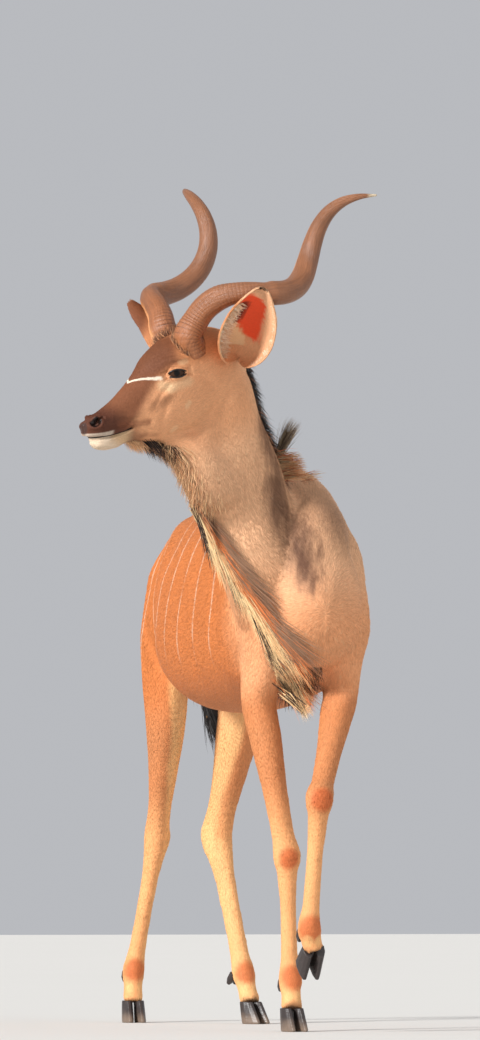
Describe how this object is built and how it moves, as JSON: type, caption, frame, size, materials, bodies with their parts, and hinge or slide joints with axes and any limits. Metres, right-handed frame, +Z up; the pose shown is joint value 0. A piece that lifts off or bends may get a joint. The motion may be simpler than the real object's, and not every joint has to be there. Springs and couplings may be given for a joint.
{
  "type": "greater kudu",
  "caption": "Life-size standing greater kudu bull, one forefoot lifted and the head turned to its right, with spiral horns, neck mane, throat fringe and tail tuft.",
  "frame": {"origin": "on the floor, under the middle of the whole animal's bounding box", "axes": "+Z up, -Y the way the body faces, +X the animal's left"},
  "size_m": [0.8374, 1.6332, 2.0398],
  "materials": {
    "coat": "short matt fur, orange-tan on the flanks with thin pale stripes, grey-brown on the neck",
    "horn": "ridged keratin, dull at the root and polished towards the pale tips",
    "hoof": "worn black keratin",
    "eye": "wet, glossy, very dark brown"
  },
  "bodies": {
    "root": {"torso": "coat", "neck": "coat", "head": "coat", "eye_left": "eye", "horn_left": "horn", "ear_left": "coat", "eye_right": "eye", "horn_right": "horn", "ear_right": "coat", "hoof_fore_right_outer": "hoof", "dewclaw_fore_right_outer": "hoof", "hoof_fore_right_inner": "hoof", "dewclaw_fore_right_inner": "hoof", "leg_fore_right": "coat", "hoof_fore_left_outer": "hoof", "dewclaw_fore_left_outer": "hoof", "hoof_fore_left_inner": "hoof", "dewclaw_fore_left_inner": "hoof", "leg_fore_left": "coat", "hoof_hind_right_outer": "hoof", "dewclaw_hind_right_outer": "hoof", "hoof_hind_right_inner": "hoof", "dewclaw_hind_right_inner": "hoof", "leg_hind_right": "coat", "hoof_hind_left_outer": "hoof", "dewclaw_hind_left_outer": "hoof", "hoof_hind_left_inner": "hoof", "dewclaw_hind_left_inner": "hoof", "leg_hind_left": "coat", "tail": "coat"}
  },
  "joints": []
}
